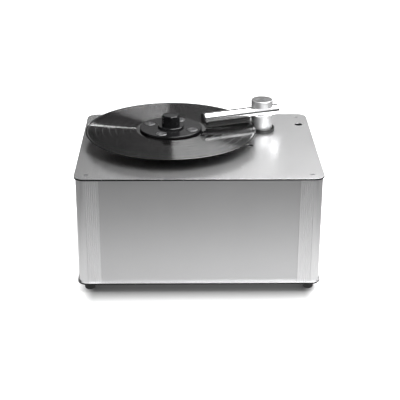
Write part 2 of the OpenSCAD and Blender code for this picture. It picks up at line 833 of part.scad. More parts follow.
// A round wire wound as a helix, with flat square ends
module helix(r, z0, rise, turns, wire_r, sides, steps) {
    points = [for (i = [0 : steps]) let (
        s = i / steps,
        c = helix_point(r, z0, rise, turns, s),
        a = 360 * turns * s
    ) for (k = [0 : sides - 1]) let (b = 360 * k / sides)
        c + wire_r * [cos(b) * cos(a), cos(b) * sin(a), sin(b)]];
    sides_faces = [for (i = [0 : steps - 1], k = [0 : sides - 1]) let (
        n = (k + 1) % sides,
        p = i * sides
    ) each [[p + k, p + sides + k, p + sides + n], [p + k, p + sides + n, p + n]]];
    first = [for (k = [1 : sides - 2]) [0, k, k + 1]];
    top = steps * sides;
    last = [for (k = [1 : sides - 2]) [top, top + k + 1, top + k]];
    polyhedron(concat(points), concat(sides_faces, first, last));
}

module lift_spring() color("silver") at_post()
    helix(spring_r, z_seat + spring_wire / 2, z_washer - z_seat - spring_wire, spring_turns,
        spring_wire / 2, 8, spring_turns * 14);

// Waste tank

module tank() color("whitesmoke") in_case() translate([tank_x, tank_y, z_deck]) difference() {
    union() {
        linear_extrude(z_tank_top - z_deck) rounded_rect(tank_w, tank_d, tank_corner_r);
        translate([0, 0, z_tank_top - z_deck - 3])
            linear_extrude(3)
                rounded_rect(tank_w + 2 * tank_rim, tank_d + 2 * tank_rim, tank_corner_r + tank_rim);
    }
    translate([0, 0, tank_floor]) linear_extrude(z_tank_top)
        rounded_rect(tank_w - 2 * tank_wall, tank_d - 2 * tank_wall, tank_corner_r - tank_wall);
    for (p = [[cock_x, z_drain], [level_x, z_drain], [level_x, z_level_top]])
        translate([p[0] - tank_x, tank_d / 2 + 1, p[1] - z_deck]) rotate([90, 0, 0])
            cylinder(r = pipe_r + seat, h = tank_wall + 2);
}

lid_step = 3;
tube_wall_t = 2;

module tank_lid() color("dimgray") in_case() difference() {
    union() {
        translate([tank_x, tank_y, z_tank_top]) linear_extrude(lid_t)
            rounded_rect(tank_w + 2 * tank_rim, tank_d + 2 * tank_rim, tank_corner_r + tank_rim);
        // Step that seats inside the tank
        inner_w = tank_w - 2 * tank_wall - 2 * free_gap;
        inner_d = tank_d - 2 * tank_wall - 2 * free_gap;
        translate([tank_x, tank_y, z_tank_top - lid_step]) linear_extrude(lid_step + eps) difference() {
            rounded_rect(inner_w, inner_d, tank_corner_r - tank_wall);
            rounded_rect(inner_w - 4, inner_d - 4, tank_corner_r - tank_wall - 2);
        }
        // Tower that carries the arm guide and the lifting spring
        translate([post_x, post_y, z_lid - eps]) cylinder(r = guide_d / 2, h = tower_h + eps);
        translate([post_x, post_y, z_tank_top - stub_len]) cylinder(r = stub_r, h = stub_len + eps);
        translate([hose_x, fan_y, z_lid - eps]) cylinder(r = hose_r - seat, h = spigot_h + eps);
        translate([spill_x, spill_y, z_tank_top - 6])
            cylinder(r = spill_d / 2 + 2 * tube_wall_t + 1, h = lid_t + 6);
    }
    translate([post_x, post_y, z_seat]) cylinder(r = spring_r + spring_wire / 2 + 1.5, h = seat_depth + 1);
    translate([post_x, post_y, z_tank_top - stub_len - 1])
        cylinder(r = air_r, h = stub_len + lid_t + tower_h + 2);
    translate([hose_x, fan_y, z_tank_top - 1]) cylinder(r = hose_r - spigot_wall, h = lid_t + spigot_h + 2);
    translate([spill_x, spill_y, z_tank_top - 7]) cylinder(r = spill_d / 2, h = lid_t + 8);
    translate([spill_x, spill_y, z_tank_top]) cylinder(r = spill_d / 2 + tube_wall_t + seat, h = lid_t + 1);
}

spill_flange = 3;
spill_flange_t = 2;

module spill_tube() color("gainsboro") in_case() translate([spill_x, spill_y, 0]) {
    translate([0, 0, z_tank_top]) ring(spill_d / 2 + tube_wall_t, spill_d / 2, z_under - z_tank_top);
    translate([0, 0, z_under - spill_flange_t])
        ring(spill_d / 2 + tube_wall_t + spill_flange, spill_d / 2, spill_flange_t);
}

// Vacuum unit

// One straight or bent stretch of the hose, filled to radius r
module hose_body(r, extra) {
    z_low = z_fan_top;
    run = hose_x - fan_x - 2 * hose_bend_r;
    translate([0, 0, z_low - extra]) cylinder(r = r, h = hose_z - hose_bend_r - z_low + 2 * extra);
    translate([hose_bend_r, 0, hose_z - hose_bend_r]) rotate([90, 0, 0])
        rotate([0, 0, 90]) rotate_extrude(angle = 90) translate([hose_bend_r, 0]) circle(r);
    translate([hose_bend_r - extra, 0, hose_z]) rotate([0, 90, 0]) cylinder(r = r, h = run + 2 * extra);
    translate([hose_bend_r + run, 0, hose_z - hose_bend_r]) rotate([90, 0, 0])
        rotate_extrude(angle = 90) translate([hose_bend_r, 0]) circle(r);
    translate([hose_x - fan_x, 0, z_lid - extra])
        cylinder(r = r, h = hose_z - hose_bend_r - z_lid + 2 * extra);
}

module suction_hose() color("gray") at_fan() difference() {
    hose_body(hose_r + hose_wall, 0);
    hose_body(hose_r, eps);
}

module fan_outline(inset) {
    circle(fan_d / 2 - inset);
    translate([fan_d / 2 - duct_w + inset, 0])
        square([duct_w - 2 * inset, panel_y - panel_t - fan_y]);
}

module fan_housing() color("dimgray") at_fan() translate([0, 0, z_fan]) difference() {
    linear_extrude(fan_h - fan_wall) fan_outline(0);
    translate([0, 0, fan_wall]) linear_extrude(fan_h) {
        fan_outline(fan_wall);
        translate([fan_d / 2 - duct_w + fan_wall, panel_y - panel_t - fan_y - 1])
            square([duct_w - 2 * fan_wall, 2]);
    }
    translate([0, 0, -1]) cylinder(r = 6, h = fan_wall + 2);
}

module fan_cover() color("dimgray") at_fan() translate([0, 0, z_fan_top - fan_wall]) difference() {
    union() {
        linear_extrude(fan_wall) fan_outline(0);
        translate([0, 0, fan_wall - eps]) cylinder(r = hose_r - seat, h = spigot_h + eps);
    }
    translate([0, 0, -1]) cylinder(r = hose_r - spigot_wall, h = fan_wall + spigot_h + 2);
}

blade_t = 1.6;
blade_h = 16;
wheel_plate_t = 1.6;
wheel_gap = 3;
fan_shaft_r = 4;
fan_shaft_l = 24;
fan_hub_r = 9;

// Backward curved blades between a back plate and a front ring
module fan_wheel() color("silver") at_fan() difference() {
    z_wheel = z_fan + fan_wall + wheel_gap;
    union() {
        translate([0, 0, z_wheel]) cylinder(r = wheel_r, h = wheel_plate_t);
        translate([0, 0, z_wheel]) cylinder(r = fan_hub_r, h = blade_h * 0.7);
        for (i = [0 : blade_count - 1]) rotate(360 / blade_count * i)
            translate([wheel_r * 0.52, 0, z_wheel + wheel_plate_t / 2]) rotate(72)
                rotate_extrude(angle = 66) translate([wheel_r * 0.65, 0])
                    square([blade_t, blade_h + wheel_plate_t]);
        translate([0, 0, z_wheel + wheel_plate_t + blade_h]) ring(wheel_r, eye_r, wheel_plate_t);
        translate([0, 0, z_fan - fan_shaft_l])
            cylinder(r = fan_shaft_r, h = fan_shaft_l + fan_wall + wheel_gap + 1);
    }
}

bell_step = 10;
bell_h = 12;
window_h = 14;
window_w = 10;
mount_lip = 8;
mount_wall = 8;

// Motor with a stepped end bell and a row of cooling windows
module vacuum_motor() color("gray") at_fan() translate([0, 0, z_fan_motor]) difference() {
    union() {
        cylinder(r = fan_motor_d / 2 - bell_step, h = bell_h);
        translate([0, 0, bell_h - eps]) cylinder(r = fan_motor_d / 2 - bell_step / 2, h = window_h + eps);
        translate([0, 0, bell_h + window_h - eps])
            cylinder(r = fan_motor_d / 2, h = fan_motor_h - bell_h - window_h + eps);
    }
    for (a = [0 : 45 : 315]) rotate(a)
        translate([fan_motor_d / 2 - 1.6 * bell_step, -window_w / 2, bell_h + 2])
            cube([2 * bell_step, window_w, window_h - 5]);
    translate([0, 0, fan_motor_h - fan_shaft_l - 1]) cylinder(r = fan_shaft_r + running, h = fan_shaft_l + 2);
}

// Rubber cup that the motor's end bell stands in
module vacuum_mount() color("black") at_fan() translate([0, 0, z_deck]) difference() {
    cup_r = fan_motor_d / 2 - bell_step + seat;
    cylinder(r = cup_r + mount_wall, h = mount_h + mount_lip);
    translate([0, 0, mount_h]) cylinder(r = cup_r, h = mount_lip + 1);
    translate([0, 0, -1]) cylinder(r = cup_r - mount_wall + 2, h = mount_h + 2);
}

// Rear fittings

module pipe_to_tank(x, z) {
    translate([x, fitting_y, z]) rotate([90, 0, 0])
        cylinder(r = pipe_r, h = fitting_y - panel_y + panel_t + tank_gap + tank_wall + 4);
}

module cock_pipe_bore(x, z) {
    translate([x, fitting_y, z]) rotate([90, 0, 0])
        cylinder(r = 3, h = fitting_y - panel_y + panel_t + tank_gap + tank_wall + 5);
}

nut_r = 8.5;
nut_t = 2;
cock_h = 16;
stem_r = 3;

spout_shoulder = 1;

module drain_cock() color("dimgray") in_case() difference() {
    union() {
        translate([cock_x, fitting_y, z_drain - cock_h / 2]) cylinder(r = fitting_r, h = cock_h);
        pipe_to_tank(cock_x, z_drain);
        translate([cock_x, rear_face + nut_t, z_drain]) rotate([90, 0, 0])
            cylinder(r = nut_r, h = nut_t, $fn = 6);
        translate([cock_x, fitting_y, z_drain]) rotate([0, -90, 0]) {
            cylinder(r = spout_d / 2, h = fitting_r + spout_shoulder + spout_l);
            cylinder(r = spout_d / 2 + 2, h = fitting_r + spout_shoulder);
        }
    }
    cock_pipe_bore(cock_x, z_drain);
    translate([cock_x, fitting_y, z_drain]) rotate([0, -90, 0])
        cylinder(r = spout_d / 2 - 1.5, h = fitting_r + spout_shoulder + spout_l + 1);
    translate([cock_x, fitting_y, z_drain - 4]) cylinder(r = stem_r + running, h = cock_h);
}

module cock_lever() color("black") in_case() translate([cock_x, fitting_y, 0]) {
    z_lever = z_drain + cock_h / 2 + free_gap;
    translate([0, 0, z_drain - 4 + free_gap]) cylinder(r = stem_r, h = z_lever - z_drain + 4);
    translate([0, 0, z_lever]) cylinder(r = fitting_r - 1, h = 4);
    translate([0, -3.5, z_lever]) cube([lever_l - 3.5, 7, 3]);
    translate([lever_l - 3.5, 0, z_lever]) cylinder(r = 3.5, h = 3);
}

module level_fittings() color("dimgray") in_case() for (s = [-1, 1]) {
    z = s < 0 ? z_drain : z_level_top;
    difference() {
        union() {
            translate([level_x, fitting_y, z - fitting_r]) cylinder(r = fitting_r, h = 2 * fitting_r);
            pipe_to_tank(level_x, z);
            translate([level_x, rear_face + nut_t, z]) rotate([90, 0, 0])
                cylinder(r = nut_r, h = nut_t, $fn = 6);
        }
        cock_pipe_bore(level_x, z);
        translate([level_x, fitting_y, s < 0 ? z - 1 : z - fitting_r - 1])
            cylinder(r = level_d / 2 + seat, h = fitting_r + 2);
    }
}

module level_tube() color("lightcyan", 0.6) in_case()
    translate([level_x, fitting_y, z_drain - 1])
        ring(level_d / 2, level_d / 2 - 1.5, z_level_top - z_drain + 2);

// Mains inlet, drawn with Z out of the rear face

inlet_x = -case_w / 2 + inlet_side;
inlet_wall = 1.5;
inlet_depth = 15;
inlet_flange = 2;
inlet_cut = 5;

module at_inlet() {
    in_case() translate([inlet_x, rear_face, inlet_z]) rotate([-90, 0, 0]) children();
}

module inlet_shape(w, h, c) {
    polygon([
        [-w / 2, -h / 2], [w / 2, -h / 2], [w / 2, h / 2 - c], [w / 2 - c, h / 2],
        [-w / 2 + c, h / 2], [-w / 2, h / 2 - c]
    ]);
}

module mains_inlet() color([0.08, 0.08, 0.08]) at_inlet() difference() {
    union() {
        linear_extrude(inlet_flange) rounded_rect(inlet_w + 5, inlet_h + 5, 2);
        translate([0, 0, -inlet_depth - 4])
            linear_extrude(inlet_depth + 4 + eps) square([inlet_w - 0.2, inlet_h - 0.2], center = true);
    }
    translate([0, 0, -inlet_depth]) linear_extrude(inlet_depth + inlet_flange + 1)
        inlet_shape(inlet_w - 2 * inlet_wall, inlet_h - 2 * inlet_wall, inlet_cut);
    for (p = inlet_pin_places) translate([p[0] - 1, p[1] - 2, -inlet_depth - 5]) cube([2, 4, 6]);
}

inlet_pin_places = [[-7, 2], [0, -2], [7, 2]];
pin_gap = 3;

module inlet_pins() color("silver") at_inlet() for (p = inlet_pin_places)
    translate([p[0] - 1 + seat, p[1] - 2 + seat, -inlet_depth - 8])
        cube([2 - 2 * seat, 4 - 2 * seat, inlet_depth + 8 - pin_gap]);

// Terminal block where the mains wires meet

block_ways = 6;
block_pitch = 8;
block_d = 18;
block_base_t = 7;
block_tower_h = 8;
block_gap = 2;
wire_hole_r = 1.8;
block_x = 10;
block_front = 56;

module terminal_block() color("white") in_case()
    translate([block_x, -case_d / 2 + block_front, z_deck]) difference() {
        union() {
            translate([-block_ways * block_pitch / 2, -block_d / 2, 0])
                cube([block_ways * block_pitch, block_d, block_base_t]);
            for (i = [0 : block_ways - 1])
                translate([(i + 0.5 - block_ways / 2) * block_pitch - (block_pitch - block_gap) / 2,
                    -block_d / 3, block_base_t - eps])
                    cube([block_pitch - block_gap, block_d * 2 / 3, block_tower_h]);
        }
        for (i = [0 : block_ways - 1]) translate([(i + 0.5 - block_ways / 2) * block_pitch, 0, 0]) {
            translate([0, block_d, block_base_t + 1]) rotate([90, 0, 0])
                cylinder(r = wire_hole_r, h = 2 * block_d);
            for (y = [-1, 1]) translate([0, y * block_d / 5, block_base_t + block_tower_h / 2])
                cylinder(r = wire_hole_r - 0.2, h = block_tower_h);
        }
    }

// Switches on the right side, drawn with X along the switch and Z out of the panel

module at_switch(i) {
    translate([panel_x, -case_d / 2 + switch_front + i * switch_pitch, z_top - switch_drop])
        rotate([0, 90, 0]) rotate([0, 0, 90]) children();
}

bezel_t = 1.5;
bezel_lip = 1.4;
switch_wall = 1.2;
pivot_z = -1.5;
pivot_r = 1.5;
rocker_crown = 3;
rocker_r = switch_l / 2 - 0.1 - switch_wall - free_gap;
rocker_w = switch_w - 0.2 - 2 * switch_wall - 2 * free_gap;

module switch_housing() difference() {
    union() {
        linear_extrude(bezel_t) rounded_rect(switch_l + 2 * bezel_lip, switch_w + 2 * bezel_lip, 1.2);
        translate([0, 0, -switch_depth]) linear_extrude(switch_depth + eps)
            square([switch_l - 0.2, switch_w - 0.2], center = true);
        for (i = [-1 : 1]) translate([i * 6 - 0.4, -3, -switch_depth - 7]) cube([0.8, 6, 7 + eps]);
    }
    translate([0, 0, -switch_depth + 3]) linear_extrude(switch_depth + bezel_t)
        square([2 * (rocker_r + free_gap), rocker_w + 2 * free_gap], center = true);
    translate([0, switch_w / 2 - 0.4, pivot_z]) rotate([90, 0, 0])
        cylinder(r = pivot_r + running, h = switch_w - 0.8);
}

// A shallow V on top, with ends that are round about the pivot
module rocker(tilt) translate([0, 0, pivot_z]) rotate([0, tilt, 0]) {
    rise = tan(rocker_tilt) * 20;
    translate([0, rocker_w / 2, 0]) rotate([90, 0, 0]) linear_extrude(rocker_w) intersection() {
        circle(rocker_r);
        polygon([
            [-20, -4], [20, -4], [20, rocker_crown + rise], [0, rocker_crown], [-20, rocker_crown + rise]
        ]);
    }
    translate([0, switch_w / 2 - 0.6, 0]) rotate([90, 0, 0]) cylinder(r = pivot_r, h = switch_w - 1.2);
}

module rotation_switch() color([0.1, 0.1, 0.1]) in_case() at_switch(0) switch_housing();
module vacuum_switch() color([0.1, 0.1, 0.1]) in_case() at_switch(1) switch_housing();
module rotation_rocker() color([0.05, 0.05, 0.05]) in_case() at_switch(0) rocker(0);
module vacuum_rocker() color([0.05, 0.05, 0.05]) in_case() at_switch(1) rocker(rocker_tilt);

// Suction arm

module thrust_washer() color("goldenrod") at_post()
    translate([0, 0, z_washer]) ring(chamber_r - 0.5, air_r + 0.5, washer_t);

module swivel_cup() color("dimgray") at_post() difference() {
    union() {
        translate([0, 0, z_shoulder]) cylinder(r = post_d / 2, h = cup_h);
        translate([0, 0, z_post - eps]) cylinder(r = post_bore_d / 2 - running, h = neck_h + eps);
    }
    translate([0, 0, z_shoulder - 1]) cylinder(r = air_r + 0.5, h = cup_h + neck_h + 2);
}

module arm_post() color("silver") at_arm() difference() {
    translate([0, 0, z_post]) cylinder(r = post_d / 2, h = z_post_top - z_post);
    translate([0, 0, z_post - 1]) cylinder(r = post_bore_d / 2, h = neck_h + 3);
    translate([0, 0, z_post]) cylinder(r = post_bore_d / 2 - 3, h = z_post_top - web_t - z_post);
    tube_solid(tube_r + seat);
    translate([0, 0, z_post_top - web_t - 1]) cylinder(r = arm_screw_d / 2 + 0.2, h = web_t + 2);
    for (s = [-1, 1]) translate([s * air_hole_x, 0, z_post_top - web_t - 1])
        cylinder(r = air_hole_d / 2, h = web_t + 2);
}

// Solid rod on the tube's axis, longer than the tube
module tube_solid(r) {
    translate([-arm_tail - 10, 0, z_arm]) rotate([0, 90, 0]) cylinder(r = r, h = arm_reach + arm_tail + 20);
}

module arm_tube() color("gainsboro") at_arm() difference() {
    translate([-arm_tail, 0, z_arm]) rotate([0, 90, 0]) rotate_extrude() {
        l = arm_reach + arm_tail;
        ri = tube_r - tube_wall;
        polygon([
            [ri, 0], [tube_r - 0.8, 0], [tube_r, 0.8], [tube_r, l - 0.5], [tube_r - 0.5, l], [ri, l]
        ]);
    }
    translate([groove_start, -tube_slot_w / 2, z_arm - tube_r - 1])
        cube([strip_end - 4 - groove_start, tube_slot_w, tube_r]);
    translate([0, 0, z_arm - tube_r - 1]) cylinder(r = arm_screw_d / 2 + 0.2, h = tube_d + 2);
    for (s = [-1, 1]) translate([s * air_hole_x, 0, z_arm - tube_r - 1])
        cylinder(r = air_hole_d / 2, h = tube_r);
}

module arm_cap() color("silver") at_arm() difference() {
    union() {
        translate([0, 0, z_cap]) cylinder(r = cap_d / 2, h = cap_h - 0.7);
        translate([0, 0, z_cap + cap_h - 0.7 - eps])
            cylinder(r1 = cap_d / 2, r2 = cap_d / 2 - 0.7, h = 0.7 + eps);
    }
    tube_solid(tube_r + seat);
    translate([0, 0, z_cap - 1]) cylinder(r = arm_screw_d / 2 + 0.1, h = cap_thread + 1.2);
}

plug_t = 2.2;
plug_grip = 6;

module arm_end_plugs() color("black") at_arm() {
    ri = tube_r - tube_wall - seat;
    translate([arm_reach - plug_grip, 0, z_arm]) rotate([0, 90, 0]) {
        cylinder(r = ri, h = plug_grip + eps);
        translate([0, 0, plug_grip]) cylinder(r = tube_r - 0.3, h = plug_t);
    }
    translate([-arm_tail + 1, 0, z_arm]) rotate([0, 90, 0]) cylinder(r = ri, h = plug_grip);
}

module strip_carrier() color("black") at_arm() difference() {
    l = strip_end - groove_start;
    mid = groove_start + l / 2;
    union() {
        translate([mid, 0, z_carrier]) linear_extrude(carrier_h + 1.4) stadium(l, carrier_w);
        translate([groove_start + 2, -tube_slot_w / 2 + 0.05, z_carrier])
            cube([l - 8, tube_slot_w - 0.1, carrier_h + tube_wall + 0.9]);
    }
    difference() {
        tube_solid(tube_r + seat);
        translate([groove_start + 2, -tube_slot_w / 2 + 0.05, z_arm - tube_r - 1])
            cube([l - 8, tube_slot_w - 0.1, tube_wall + 1.9]);
    }
    translate([mid, 0, z_carrier - 1]) linear_extrude(carrier_h + tube_wall + 4) stadium(l - 14, air_slot_w);
}

module felt_strips() color([0.15, 0.15, 0.15]) at_arm() for (s = [-1, 1])
    translate([groove_start + 4, s * (air_slot_w / 2 + 0.1 + felt_w / 2) - felt_w / 2, z_strip])
        cube([strip_end - groove_start - 8, felt_w, felt_t]);

module arm_screw() color("silver") at_arm() {
    z_head = z_post_top - web_t - arm_screw_head_h;
    difference() {
        translate([0, 0, z_head]) cylinder(r = arm_screw_head_d / 2, h = arm_screw_head_h);
        translate([0, 0, z_head - 1]) cylinder(d = 4.6, h = 3.5, $fn = 6);
    }
    translate([0, 0, z_head + arm_screw_head_h - eps])
        cylinder(r = arm_screw_d / 2, h = z_cap + cap_thread - z_head - arm_screw_head_h + eps);
}

top_plate();
bottom_plate();
profile_front_left();
profile_front_right();
profile_rear_left();
profile_rear_right();
front_panel();
rear_panel();
left_panel();
right_panel();
feet();
corner_screws();
bearing_housing();
housing_screws();
spindle_bearings();
shaft_seal();
motor_bracket();
drive_motor();
post_collar();
post_guide();
lift_spring();
tank();
tank_lid();
spill_tube();
suction_hose();
fan_housing();
fan_cover();
vacuum_motor();
vacuum_mount();
drain_cock();
level_fittings();
level_tube();
mains_inlet();
inlet_pins();
rotation_switch();
vacuum_switch();
terminal_block();
spindle();
drive_shaft();
platter();
platter_mat();
record();
clamp_disc();
clamp_seal();
clamp_inlays();
clamp_knob();
knob_insert();
thrust_washer();
swivel_cup();
arm_post();
arm_tube();
arm_cap();
arm_end_plugs();
strip_carrier();
felt_strips();
arm_screw();
fan_wheel();
rotation_rocker();
vacuum_rocker();
cock_lever();
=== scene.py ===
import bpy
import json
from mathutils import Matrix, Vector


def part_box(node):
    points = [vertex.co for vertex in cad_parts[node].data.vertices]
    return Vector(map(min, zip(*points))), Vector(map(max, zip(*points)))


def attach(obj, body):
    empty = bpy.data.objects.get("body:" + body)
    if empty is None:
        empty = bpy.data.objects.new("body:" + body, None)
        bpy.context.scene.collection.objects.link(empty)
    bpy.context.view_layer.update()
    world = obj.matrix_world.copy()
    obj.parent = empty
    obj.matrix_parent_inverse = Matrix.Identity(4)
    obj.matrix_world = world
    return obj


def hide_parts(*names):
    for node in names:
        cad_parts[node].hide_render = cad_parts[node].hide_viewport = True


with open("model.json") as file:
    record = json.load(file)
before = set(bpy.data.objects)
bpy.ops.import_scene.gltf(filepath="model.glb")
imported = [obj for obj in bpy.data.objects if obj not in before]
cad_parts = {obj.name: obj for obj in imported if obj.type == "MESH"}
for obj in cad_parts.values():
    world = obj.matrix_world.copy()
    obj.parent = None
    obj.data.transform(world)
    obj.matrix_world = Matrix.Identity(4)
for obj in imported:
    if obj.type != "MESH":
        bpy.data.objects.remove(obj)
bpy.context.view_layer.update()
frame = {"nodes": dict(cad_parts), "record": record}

import json
import math

import bmesh
import bpy
from mathutils import Matrix, Vector

mm = 0.001
nodes = frame["nodes"]
scene = bpy.context.scene


# camera

cameraView = {
    "place": (-0.0262, -1.83724, 0.87692),
    "turnedRight": 0.93,  # degrees
    "tippedDown": 22.98,
    "rolled": 0.13,
    "lens": 99.53,
}


def makeCamera(view):
    yaw, pitch, roll = (math.radians(view[k]) for k in ("turnedRight", "tippedDown", "rolled"))
    forward = Vector((math.sin(yaw) * math.cos(pitch), math.cos(yaw) * math.cos(pitch), -math.sin(pitch)))
    right = Vector((math.cos(yaw), -math.sin(yaw), 0))
    up = right.cross(forward)
    side = right * math.cos(roll) + up * math.sin(roll)
    top = up * math.cos(roll) - right * math.sin(roll)
    data = bpy.data.cameras.new("camera")
    data.lens = view["lens"]
    data.sensor_width = 36
    data.clip_start = 0.05
    camera = bpy.data.objects.new("camera", data)
    camera.matrix_world = Matrix.Translation(view["place"]) @ Matrix((side, top, -forward)).transposed().to_4x4()
    scene.collection.objects.link(camera)
    scene.camera = camera


makeCamera(cameraView)
scene.view_settings.view_transform = "Standard"


# node helpers

def addNode(tree, kind, inputs=None, **settings):
    node = tree.nodes.new(kind)
    for key, value in settings.items():
        setattr(node, key, value)
    for key, value in (inputs or {}).items():
        if isinstance(value, bpy.types.NodeSocket):
            tree.links.new(value, node.inputs[key])
        else:
            node.inputs[key].default_value = value
    return node


def maths(tree, operation, a, b=0.0, c=0.0):
    return addNode(tree, "ShaderNodeMath", {0: a, 1: b, 2: c}, operation=operation).outputs[0]


def blend(tree, factor, a, b):
    return maths(tree, "MULTIPLY_ADD", factor, maths(tree, "SUBTRACT", b, a), a)


def split(tree, vector):
    return addNode(tree, "ShaderNodeSeparateXYZ", {0: vector}).outputs


def vectors(tree, operation, a, b):
    return addNode(tree, "ShaderNodeVectorMath", {0: a, 1: b}, operation=operation).outputs[0]


def ramp(tree, value, stops):
    first, last = stops[0][0], stops[-1][0]
    node = addNode(tree, "ShaderNodeValToRGB", {"Fac": between(tree, value, first, last, smooth=False)})
    node.color_ramp.interpolation = "B_SPLINE"
    marks = node.color_ramp.elements
    while len(marks) < len(stops):
        marks.new(0.5)
    for mark, (place, tone) in zip(marks, stops):
        mark.position = (place - first) / (last - first)
        mark.color = grey(tone)
    return node.outputs["Color"]


def between(tree, value, low, high, toLow=0.0, toHigh=1.0, smooth=True):
    return addNode(tree, "ShaderNodeMapRange", {
        "Value": value, "From Min": low, "From Max": high, "To Min": toLow, "To Max": toHigh,
    }, interpolation_type="SMOOTHSTEP" if smooth else "LINEAR").outputs["Result"]


def mixed(tree, factor, a, b):
    return addNode(tree, "ShaderNodeMix", {"Factor": factor, 6: a, 7: b}, data_type="RGBA").outputs[2]


def grey(value):
    return (value, value, value, 1)


def shade(colour, factor):
    return tuple(min(1, v * factor) for v in colour) + (1,)


# world

worldLight = {
    "diffuse": 0.34,  # what matt surfaces get from all around, the rest is for reflections
    # the bright panel behind: its tone at the left and right, and its edges as sines of the angles
    "panelLeft": 0.25, "panelRight": 0.84, "panelBlend": (-0.12, 0.08),
    "panelLow": (0.25, 0.30), "panelHigh": (0.42, 0.58), "panelSide": (0.17, 0.28),
    "back": 0.012,
    "front": 1.15, "frontToBack": (-0.15, 0.15),
    # a dark band low in front, which draws the line along the arm tube
    "band": (-0.34, -0.20, 0.16, 0.22), "bandTone": 0.01,
    # a light wall at the right of the back
    "side": (0.40, 0.60), "sideTop": (0.22, 0.40), "sideTone": 0.7,
    "zenith": 0.12, "zenithFrom": (0.78, 0.95),
}


def makeWorld(light):
    world = bpy.data.worlds.new("studio")
    scene.world = world
    world.use_nodes = True
    tree = world.node_tree
    tree.nodes.clear()
    xyz = split(tree, addNode(tree, "ShaderNodeTexCoord").outputs["Generated"])
    x, y, z = xyz["X"], xyz["Y"], xyz["Z"]
    panel = between(tree, x, *light["panelBlend"], light["panelLeft"], light["panelRight"])
    window = between(tree, z, *light["panelLow"])
    window = maths(tree, "MULTIPLY", window, between(tree, z, *light["panelHigh"], 1.0, 0.0))
    beside = between(tree, maths(tree, "ABSOLUTE", x), *light["panelSide"], 1.0, 0.0)
    back = blend(tree, maths(tree, "MULTIPLY", window, beside), light["back"], panel)
    wall = maths(tree, "MULTIPLY", between(tree, x, *light["side"]), between(tree, z, *light["sideTop"], 1.0, 0.0))
    back = blend(tree, wall, back, light["sideTone"])
    isBack = between(tree, y, *light["frontToBack"])
    tone = blend(tree, isBack, light["front"], back)
    tone = blend(tree, between(tree, z, *light["zenithFrom"]), tone, light["zenith"])
    low0, low1, high0, high1 = light["band"]
    band = maths(tree, "MULTIPLY", between(tree, z, low0, low1), between(tree, z, high0, high1, 1.0, 0.0))
    band = maths(tree, "MULTIPLY", band, maths(tree, "SUBTRACT", 1.0, isBack))
    tone = blend(tree, band, tone, light["bandTone"])
    paths = addNode(tree, "ShaderNodeLightPath").outputs
    shiny = maths(tree, "MAXIMUM", paths["Is Glossy Ray"], paths["Is Transmission Ray"])
    glow = blend(tree, shiny, light["diffuse"], tone)
    glow = blend(tree, paths["Is Camera Ray"], glow, 1.0)
    sky = addNode(tree, "ShaderNodeBackground", {"Color": grey(1), "Strength": glow})
    tree.links.new(sky.outputs[0], addNode(tree, "ShaderNodeOutputWorld").inputs[0])


makeWorld(worldLight)


# lamps

# edge is the middle of a lamp's first edge, and across and along are its sides
lamps = {
    "softbox": {"edge": (-0.02, -0.10, 1.35), "across": (0.84, 0.0, -0.453), "along": (0.0, 1.27, 0.0), "watts": 32},
    "front": {"edge": (0.35, -1.75, 1.35), "across": (0.7, 0.45, 0.0), "along": (-0.22, 0.34, 0.5), "watts": 7},
    "glint": {"edge": (-0.64, 1.90, 0.28), "across": (-0.04, -0.013, 0.0), "along": (0.0, 0.0, 0.4), "watts": 0.55},
}


def makeLamp(name, spec):
    data = bpy.data.lights.new(name, "AREA")
    data.shape = "RECTANGLE"
    across, along = Vector(spec["across"]), Vector(spec["along"])
    data.size, data.size_y = across.length, along.length
    data.energy = spec["watts"]
    lamp = bpy.data.objects.new(name, data)
    sideways, upwards = across.normalized(), along.normalized()
    shining = sideways.cross(upwards).normalized()
    lamp.matrix_world = (Matrix.Translation(Vector(spec["edge"]) + across / 2)
                         @ Matrix((sideways, upwards, shining)).transposed().to_4x4())
    scene.collection.objects.link(lamp)


for lampName, lampSpec in lamps.items():
    makeLamp(lampName, lampSpec)


# floor

floorSpec = {
    "halfSize": 6.0,
    "colour": 0.86, "inShadow": 0.25, "underShine": 0.02,
    "grainScale": 40.0, "grain": 0.985,
    # painted shadow: brightness in the picture against the distance in front of the bottom plate's edge
    "shadow": ((-0.060, 0.0), (-0.020, 0.0), (-0.006, 0.01), (0.010, 0.12),
               (0.030, 0.35), (0.055, 0.62), (0.090, 1.0)),
    "shadowSide": (-0.030, 0.012),
    # painted light: the floor glows for reflections, and this is what a shiny surface sees of it, near the machine
    # and far from it
    "shine": ((0.0, 0.80), (0.10, 0.86), (0.24, 0.62), (0.42, 0.26), (0.75, 0.06),
              (1.0, 0.6), (1.15, 0.5), (1.35, 0.03), (6.0, 0.03)),
    "shineBehind": ((0.0, 0.80), (0.24, 0.62), (0.42, 0.26), (0.7, 0.03), (6.0, 0.004)),
    "shineSide": (0.05, 0.40, 1.0, 0.35),  # from and to, and the share that is left there
    "shineTilt": (-0.2, 0.2, 0.88, 1.10),  # painted light, a little more at the right
}


